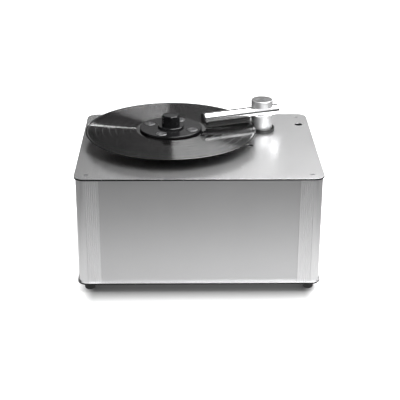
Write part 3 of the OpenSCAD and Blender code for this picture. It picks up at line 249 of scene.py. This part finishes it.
def makeFloor(spec):
    mesh = bpy.data.meshes.new("floor")
    h = spec["halfSize"]
    mesh.from_pydata([(-h, -h, 0), (h, -h, 0), (h, h, 0), (-h, h, 0)], [], [(0, 1, 2, 3)])
    floor = bpy.data.objects.new("floor", mesh)
    scene.collection.objects.link(floor)
    material = bpy.data.materials.new("floor_paper")
    material.use_nodes = True
    tree = material.node_tree
    tree.nodes.clear()
    coords = addNode(tree, "ShaderNodeTexCoord").outputs["Object"]
    xyz = split(tree, coords)
    low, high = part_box("bottom_plate")
    middle, halfDepth = (low[1] + high[1]) / 2, (high[1] - low[1]) / 2
    ahead = maths(tree, "SUBTRACT", maths(tree, "ABSOLUTE", maths(tree, "SUBTRACT", xyz["Y"], middle)), halfDepth)
    aside = maths(tree, "SUBTRACT", maths(tree, "ABSOLUTE", xyz["X"]), high[0])
    # a painted shadow, which lies in front of the machine and behind it, and barely at its sides
    shadow = maths(tree, "SUBTRACT", 1.0, ramp(tree, ahead, spec["shadow"]))
    shadow = maths(tree, "MULTIPLY", shadow, between(tree, aside, *spec["shadowSide"], 1.0, 0.0))
    seen = maths(tree, "SUBTRACT", 1.0, shadow)
    behind = between(tree, xyz["Y"], low[1], high[1])
    # painted light: how bright the floor glows for reflections, by the distance from the machine
    shine = mixed(tree, behind, ramp(tree, ahead, spec["shine"]), ramp(tree, ahead, spec["shineBehind"]))
    shine = maths(tree, "MULTIPLY", shine, between(tree, aside, *spec["shineSide"]))
    shine = maths(tree, "MULTIPLY", shine, between(tree, xyz["X"], *spec["shineTilt"], smooth=False))
    paths = addNode(tree, "ShaderNodeLightPath").outputs
    shiny = maths(tree, "MAXIMUM", paths["Is Glossy Ray"], paths["Is Transmission Ray"])
    glow = maths(tree, "MULTIPLY", paths["Is Camera Ray"], seen)
    glow = maths(tree, "ADD", glow, maths(tree, "MULTIPLY", shiny, shine))
    paperGrain = addNode(tree, "ShaderNodeTexNoise", {"Vector": coords, "Scale": spec["grainScale"], "Detail": 3.0})
    colour = spec["colour"]
    paper = mixed(tree, paperGrain.outputs["Fac"], grey(colour), grey(colour * spec["grain"]))
    # painted shadow: the paper's own colour is darkened where the painted shadow lies
    paper = mixed(tree, seen, grey(colour * spec["inShadow"]), paper)
    paper = mixed(tree, shiny, paper, grey(spec["underShine"]))
    diffuse = addNode(tree, "ShaderNodeBsdfDiffuse", {"Color": paper})
    light = addNode(tree, "ShaderNodeEmission", {"Color": grey(1), "Strength": glow})
    total = addNode(tree, "ShaderNodeAddShader", {0: diffuse.outputs[0], 1: light.outputs[0]})
    tree.links.new(total.outputs[0], addNode(tree, "ShaderNodeOutputMaterial").inputs[0])
    mesh.materials.append(material)


makeFloor(floorSpec)
print("stage ready")


# finishes

def startMaterial(name):
    material = bpy.data.materials.new(name)
    material.use_nodes = True
    tree = material.node_tree
    shader = next(n for n in tree.nodes if n.type == "BSDF_PRINCIPLED")
    return material, tree, shader


def grain(tree, vector, scale, detail=3.0, roughness=0.6):
    return addNode(tree, "ShaderNodeTexNoise", {
        "Vector": vector, "Scale": scale, "Detail": detail, "Roughness": roughness,
    }).outputs["Fac"]


def stretched(tree, factors):
    return vectors(tree, "MULTIPLY", addNode(tree, "ShaderNodeTexCoord").outputs["Object"], factors)


def specked(tree, tone, fine, amount):
    speck = between(tree, fine, 0.3, 0.7, 1 - amount, 1 + amount, smooth=False)
    return addNode(tree, "ShaderNodeMix", {"Factor": 1.0, 6: tone, 7: speck}, data_type="RGBA",
                   blend_type="MULTIPLY").outputs[2]


# what a finish has where its own entry says nothing
plainFinish = {
    "cloud": 0.05, "cloudScale": 18.0, "grainScale": 900.0, "speck": 0.05, "roughSwing": 0.05,
    "bump": 0.15, "bumpDepth": 0.0001, "metal": False,
}
socketOf = {
    "specular": "Specular IOR Level", "sheen": "Sheen Weight", "clear": "Transmission Weight", "ior": "IOR",
    "milky": "Subsurface Weight", "milkyDepth": "Subsurface Scale",
}


def makeFinish(name, ownSpec):
    spec = {**plainFinish, **ownSpec}
    material, tree, shader = startMaterial(name)
    coords = addNode(tree, "ShaderNodeTexCoord").outputs["Object"]
    along = stretched(tree, spec["stretch"]) if "stretch" in spec else coords
    broad = grain(tree, coords, spec["cloudScale"])
    fine = grain(tree, along, spec["grainScale"], 4.0)
    dark, light = (shade(spec["colour"], 1 + side * spec["cloud"]) for side in (-1, 1))
    tone = specked(tree, mixed(tree, between(tree, broad, 0.3, 0.7), dark, light), fine, spec["speck"])
    tree.links.new(tone, shader.inputs["Base Color"])
    rough, swing = spec["roughness"], spec["roughSwing"]
    both = maths(tree, "MULTIPLY_ADD", fine, 0.6, maths(tree, "MULTIPLY", broad, 0.4))
    tree.links.new(between(tree, both, 0.35, 0.65, max(0.02, rough - swing), rough + swing, smooth=False),
                   shader.inputs["Roughness"])
    bump = addNode(tree, "ShaderNodeBump", {"Strength": spec["bump"], "Distance": spec["bumpDepth"], "Height": fine})
    tree.links.new(bump.outputs["Normal"], shader.inputs["Normal"])
    shader.inputs["Metallic"].default_value = 1.0 if spec["metal"] else 0.0
    for key, socket in socketOf.items():
        if key in spec:
            shader.inputs[socket].default_value = spec[key]
    return material


finishes = {
    "profile_aluminium": {
        "colour": (0.86, 0.86, 0.865), "metal": True, "roughness": 0.31, "roughSwing": 0.03, "cloud": 0.01,
        "grainScale": 700, "speck": 0.04, "bump": 0.05, "stretch": (1, 1, 0.05)},
    "panel_aluminium": {
        "colour": (0.66, 0.66, 0.665), "metal": True, "roughness": 0.33, "roughSwing": 0.02, "cloud": 0.01,
        "grainScale": 1400, "speck": 0.04, "bump": 0.06},
    "tube_aluminium": {
        "colour": (0.74, 0.74, 0.745), "metal": True, "roughness": 0.08, "roughSwing": 0.02, "grainScale": 900,
        "speck": 0.02, "bump": 0.02, "stretch": (0.2, 1, 1)},
    "inlay_aluminium": {
        "colour": (0.22, 0.22, 0.225), "metal": True, "roughness": 0.45, "cloudScale": 160, "cloud": 0.5,
        "grainScale": 1500, "speck": 0.15, "bump": 0.3},
    "wheel_aluminium": {"colour": (0.72, 0.73, 0.74), "metal": True, "roughness": 0.4},
    "screw_steel": {"colour": (0.68, 0.68, 0.69), "metal": True, "roughness": 0.25, "bump": 0.1},
    "bearing_steel": {"colour": (0.72, 0.72, 0.73), "metal": True, "roughness": 0.18, "bump": 0.05},
    "cast_housing": {
        "colour": (0.52, 0.53, 0.54), "metal": True, "roughness": 0.5, "cloud": 0.1, "grainScale": 500,
        "bump": 0.5},
    "motor_grey": {"colour": (0.34, 0.35, 0.36), "roughness": 0.45, "grainScale": 700, "bump": 0.3},
    "platter_black": {"colour": (0.03, 0.03, 0.03), "metal": True, "roughness": 0.35, "bump": 0.1},
    "washer_bronze": {"colour": (0.72, 0.53, 0.3), "metal": True, "roughness": 0.3},
    "pin_brass": {"colour": (0.78, 0.62, 0.34), "metal": True, "roughness": 0.22},
    "black_rubber": {"colour": (0.022, 0.022, 0.022), "roughness": 0.7, "grainScale": 800, "bump": 0.3},
    "collar_rubber": {
        "colour": (0.008, 0.008, 0.008), "roughness": 0.2, "grainScale": 900, "bump": 0.05, "specular": 0.5},
    "hose_rubber": {"colour": (0.06, 0.06, 0.06), "roughness": 0.6, "bump": 0.3},
    "black_moulding": {"colour": (0.03, 0.03, 0.03), "roughness": 0.5, "grainScale": 1100, "bump": 0.3},
    "switch_black": {"colour": (0.03, 0.03, 0.03), "roughness": 0.45, "grainScale": 1200, "bump": 0.25},
    "rocker_black": {"colour": (0.02, 0.02, 0.02), "roughness": 0.25, "bump": 0.05},
    "clamp_black": {
        "colour": (0.005, 0.005, 0.0055), "roughness": 0.22, "cloudScale": 120, "grainScale": 1200,
        "bump": 0.12, "specular": 0.4},
    "knob_black": {
        "colour": (0.004, 0.004, 0.0045), "roughness": 0.16, "roughSwing": 0.02, "grainScale": 1200,
        "bump": 0.03, "specular": 0.28},
    "tank_plastic": {"colour": (0.8, 0.8, 0.78), "roughness": 0.4, "milky": 0.2, "milkyDepth": 0.01, "bump": 0.1},
    "clear_tube": {"colour": (0.93, 0.96, 0.96), "roughness": 0.08, "clear": 0.9, "ior": 1.45, "bump": 0.05},
    "strip_felt": {"colour": (0.03, 0.03, 0.03), "roughness": 0.9, "sheen": 0.5, "grainScale": 1500, "bump": 0.8},
}
materials = {name: makeFinish(name, spec) for name, spec in finishes.items()}


plateSpec = {
    "skin": 0.00006,  # over a dark core, which shows at the edge and in the holes
    "colour": (0.84, 0.84, 0.845), "cloud": 0.015, "cloudScale": 9.0, "speck": 0.05,
    # blasted and anodised: smooth specks between rough ones, so a reflection has a sharp part and a soft part
    "roughness": (0.24, 0.40), "specks": (0.47, 0.53), "speckScale": 4000.0, "bump": 0.08, "bumpDepth": 0.0001,
    "core": (0.006, 0.006, 0.006), "coreRoughness": 0.12,
    "flat": (0.85, 0.95),  # how level a face is before it counts as skin
}


def makePlateFinish(spec):
    material, tree, shader = startMaterial("plate_aluminium")
    coords = addNode(tree, "ShaderNodeTexCoord").outputs["Object"]
    height = split(tree, coords)["Z"]
    upright = split(tree, addNode(tree, "ShaderNodeNewGeometry").outputs["True Normal"])["Z"]
    flat = between(tree, maths(tree, "ABSOLUTE", upright), *spec["flat"])
    inside = []
    for plate in ("top_plate", "bottom_plate"):
        low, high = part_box(plate)
        middle = (low[2] + high[2]) / 2
        half = (high[2] - low[2]) / 2 - spec["skin"]
        away = maths(tree, "ABSOLUTE", maths(tree, "SUBTRACT", height, middle))
        inside.append(maths(tree, "LESS_THAN", away, half))
    core = maths(tree, "MULTIPLY", maths(tree, "MAXIMUM", *inside), maths(tree, "SUBTRACT", 1.0, flat))
    broad = grain(tree, coords, spec["cloudScale"])
    fine = grain(tree, coords, spec["speckScale"], 2.0)
    dark, light = (shade(spec["colour"], 1 + side * spec["cloud"]) for side in (-1, 1))
    tone = specked(tree, mixed(tree, between(tree, broad, 0.3, 0.7), dark, light), fine, spec["speck"])
    tone = mixed(tree, core, tone, spec["core"] + (1,))
    tree.links.new(tone, shader.inputs["Base Color"])
    tree.links.new(maths(tree, "SUBTRACT", 1.0, core), shader.inputs["Metallic"])
    rough = between(tree, fine, *spec["specks"], *spec["roughness"])
    tree.links.new(blend(tree, core, rough, spec["coreRoughness"]), shader.inputs["Roughness"])
    bump = addNode(tree, "ShaderNodeBump", {"Strength": spec["bump"], "Distance": spec["bumpDepth"], "Height": fine})
    tree.links.new(bump.outputs["Normal"], shader.inputs["Normal"])
    return material


materials["plate_aluminium"] = makePlateFinish(plateSpec)


# record

recordSpec = {
    "hole": 3.62, "face": 0.8, "rim": 1.0,  # mm, as a radius and as half thicknesses
    "separators": (72.0, 84.5, 97.5, 108.5, 121.0, 133.0), "separatorWidth": 1.1, "separatorDepth": 0.08,
    "support": 0.15,  # close loops beside each separator, which keep the face between them flat
    "facets": 256,
    # the grooves, which the material carries as leaning walls with flat lands between them
    "grooved": (61.5, 146.6), "pitch": 0.21, "land": 0.28, "wallLow": 0.34, "wallHigh": 0.95,
    "colour": 0.002, "roughness": 0.13, "landRoughness": 0.05, "specular": 0.82, "ior": 1.56,
    "tracks": 260.0, "loud": 900.0, "loudSwing": (0.97, 1.03),
}


def ringWalls(tree, centre, spec):
    coords = addNode(tree, "ShaderNodeTexCoord").outputs["Object"]
    level = vectors(tree, "MULTIPLY", vectors(tree, "SUBTRACT", coords, centre), (1, 1, 0))
    radius = addNode(tree, "ShaderNodeVectorMath", {0: level}, operation="LENGTH").outputs["Value"]
    outward = addNode(tree, "ShaderNodeVectorMath", {0: level}, operation="NORMALIZE").outputs[0]
    outward = addNode(tree, "ShaderNodeVectorTransform", {0: outward}, vector_type="VECTOR",
                      convert_from="OBJECT", convert_to="WORLD").outputs[0]
    turn = maths(tree, "FRACT", maths(tree, "MULTIPLY", radius, 1 / (spec["pitch"] * mm)))
    swing = maths(tree, "MULTIPLY_ADD", turn, 2.0, -1.0)
    reach = maths(tree, "ABSOLUTE", swing)
    wall = maths(tree, "GREATER_THAN", reach, spec["land"])
    steep = between(tree, reach, spec["land"], 1.0, spec["wallLow"], spec["wallHigh"], smooth=False)
    slope = maths(tree, "MULTIPLY", maths(tree, "MULTIPLY", maths(tree, "SIGN", swing), steep), wall)
    return radius, outward, slope, wall


def leant(tree, outward, slope):
    normal = addNode(tree, "ShaderNodeNewGeometry").outputs["Normal"]
    level = maths(tree, "ABSOLUTE", split(tree, normal)["Z"])
    slope = maths(tree, "MULTIPLY", slope, maths(tree, "GREATER_THAN", level, 0.9))
    lean = addNode(tree, "ShaderNodeVectorMath", {0: outward, "Scale": slope}, operation="SCALE").outputs[0]
    lean = vectors(tree, "ADD", normal, lean)
    return addNode(tree, "ShaderNodeVectorMath", {0: lean}, operation="NORMALIZE").outputs[0]


def makeRecordFinish(spec):
    material, tree, shader = startMaterial("record_vinyl")
    radius, outward, slope, wall = ringWalls(tree, (0, 0, 0), spec)
    ring = addNode(tree, "ShaderNodeCombineXYZ", {0: radius}).outputs[0]
    loud = grain(tree, ring, spec["loud"], 2.0, 0.7)
    tracks = grain(tree, ring, spec["tracks"], 1.0, 0.5)
    first, last = (r * mm for r in spec["grooved"])
    cut = maths(tree, "MULTIPLY", maths(tree, "GREATER_THAN", radius, first), maths(tree, "LESS_THAN", radius, last))
    half = (spec["separatorWidth"] / 2 + 0.1) * mm
    for place in spec["separators"]:  # hardly any groove in the blank rings between the tracks
        off = maths(tree, "ABSOLUTE", maths(tree, "SUBTRACT", radius, place * mm))
        cut = maths(tree, "MULTIPLY", cut, between(tree, off, half * 0.6, half * 1.3, 0.1, 1.0))
    cut = maths(tree, "MULTIPLY", cut, between(tree, loud, 0.3, 0.7, *spec["loudSwing"]))
    tree.links.new(leant(tree, outward, maths(tree, "MULTIPLY", slope, cut)), shader.inputs["Normal"])
    tone = between(tree, tracks, 0.3, 0.7, spec["colour"] * 0.6, spec["colour"] * 1.5, smooth=False)
    tree.links.new(tone, shader.inputs["Base Color"])
    walled = maths(tree, "MULTIPLY", wall, maths(tree, "GREATER_THAN", cut, 0.5))
    rough = between(tree, tracks, 0.25, 0.75, spec["roughness"] - 0.03, spec["roughness"] + 0.02)
    tree.links.new(blend(tree, walled, spec["landRoughness"], rough), shader.inputs["Roughness"])
    shader.inputs["Specular IOR Level"].default_value = spec["specular"]
    shader.inputs["IOR"].default_value = spec["ior"]
    return material


materials["record_vinyl"] = makeRecordFinish(recordSpec)


def makeTurned(name, profile, centre, facets):
    mesh = bpy.data.meshes.new(name)
    bm = bmesh.new()
    turns = [2 * math.pi * i / facets for i in range(facets)]
    loops = [[bm.verts.new((r * mm * math.cos(t), r * mm * math.sin(t), z * mm)) for t in turns] for r, z in profile]
    for a, b in zip(loops, loops[1:] + loops[:1]):
        for i in range(facets):
            j = (i + 1) % facets
            bm.faces.new((a[i], a[j], b[j], b[i]))
    bmesh.ops.recalc_face_normals(bm, faces=bm.faces)
    for face in bm.faces:
        face.smooth = True
    bm.to_mesh(mesh)
    bm.free()
    piece = bpy.data.objects.new(name, mesh)
    piece.location = centre
    scene.collection.objects.link(piece)
    return piece


def makeRecord(spec):
    low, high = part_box("record")
    spindleLow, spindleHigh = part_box("spindle")
    x, y = ((a + b) / 2 for a, b in zip(spindleLow[:2], spindleHigh[:2]))
    z = (low[2] + high[2]) / 2
    outer, label = (high[0] - low[0]) / 2 / mm, (high[2] - low[2]) / 2 / mm
    face, rim, hole, near = spec["face"], spec["rim"], spec["hole"], spec["support"]
    half, dip = spec["separatorWidth"] / 2, face - spec["separatorDepth"]
    top = [(hole, label - 0.3), (hole + 0.3, label), (49.2, label), (50.0, label - 0.35), (51.2, face + 0.1),
           (52.5, face), (52.8, face)]
    for r in spec["separators"]:
        top += [(r - half - 2 * near, face), (r - half - near, face), (r - half, dip),
                (r + half, dip), (r + half + near, face), (r + half + 2 * near, face)]
    top += [(146.7, face), (146.9, face), (147.8, rim - 0.05), (148.6, rim), (149.8, rim - 0.1),
            (outer - 0.3, rim - 0.4), (outer, 0.25)]
    piece = makeTurned("record_disc", top + [(r, -h) for r, h in reversed(top)], (x, y, z), spec["facets"])
    piece.data.materials.append(materials["record_vinyl"])
    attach(piece, "platter")
    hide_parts("record")


makeRecord(recordSpec)
print("record ready")


# post and cap

turnedSpec = {
    "pitch": 0.17, "land": 0.2, "wallLow": 0.03, "wallHigh": 0.16,  # turning marks on the upper faces
    "colour": (0.66, 0.66, 0.665), "cloud": 0.04, "faceRoughness": 0.22, "sideRoughness": 0.48,
    "marks": 700.0, "grainScale": 900.0, "stretch": (0.3, 0.3, 3),
}


def makeTurnedFinish(spec):
    material, tree, shader = startMaterial("turned_aluminium")
    low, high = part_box("arm_post")
    centre = ((low[0] + high[0]) / 2, (low[1] + high[1]) / 2, 0)
    radius, outward, slope = ringWalls(tree, centre, spec)[:3]
    fine = grain(tree, stretched(tree, spec["stretch"]), spec["grainScale"], 4.0)
    marks = grain(tree, addNode(tree, "ShaderNodeCombineXYZ", {0: radius}).outputs[0], spec["marks"], 2.0)
    slope = maths(tree, "MULTIPLY", slope, between(tree, marks, 0.3, 0.7, 0.4, 1.6, smooth=False))
    tree.links.new(leant(tree, outward, slope), shader.inputs["Normal"])
    upright = split(tree, addNode(tree, "ShaderNodeNewGeometry").outputs["Normal"])["Z"]
    rough = blend(tree, maths(tree, "GREATER_THAN", upright, 0.9), spec["sideRoughness"], spec["faceRoughness"])
    tree.links.new(maths(tree, "MULTIPLY_ADD", fine, 0.04, rough), shader.inputs["Roughness"])
    dark, light = (shade(spec["colour"], 1 + side * spec["cloud"]) for side in (-1, 1))
    tree.links.new(mixed(tree, between(tree, fine, 0.3, 0.7), dark, light), shader.inputs["Base Color"])
    shader.inputs["Metallic"].default_value = 1.0
    return material


materials["turned_aluminium"] = makeTurnedFinish(turnedSpec)


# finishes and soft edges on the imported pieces

slotOf = {row["node"]: row["material_slot"] for row in frame["record"]["subparts"]}
softEdges = {  # mm
    "top_plate": 0.25, "bottom_plate": 0.25, "clamp_disc": 0.5, "clamp_knob": 0.6, "clamp_inlays": 0.3,
    "arm_post": 0.4, "arm_cap": 0.4, "post_collar": 0.6, "feet": 0.8, "corner_screws": 0.15, "arm_end_plugs": 0.3,
    "platter": 0.4, "rotation_rocker": 0.3, "vacuum_rocker": 0.3, "cock_lever": 0.5,
}
edgeAngle = 35
plateAngle = 60  # the plates' countersinks keep their sharp rims


def softenEdges(piece, width, angle):
    weld = piece.modifiers.new("weld", "WELD")
    weld.merge_threshold = 0.000005
    bevel = piece.modifiers.new("soft_edges", "BEVEL")
    bevel.width = width * mm
    bevel.segments = 2
    bevel.limit_method = "ANGLE"
    bevel.angle_limit = math.radians(angle)
    bevel.harden_normals = False
    piece.modifiers.new("even_normals", "WEIGHTED_NORMAL").keep_sharp = True


for nodeName, piece in nodes.items():
    for slot in piece.material_slots:
        slot.material = materials[slotOf[nodeName]]
    if nodeName in softEdges:
        softenEdges(piece, softEdges[nodeName], plateAngle if nodeName.endswith("_plate") else edgeAngle)
print("finishes ready")
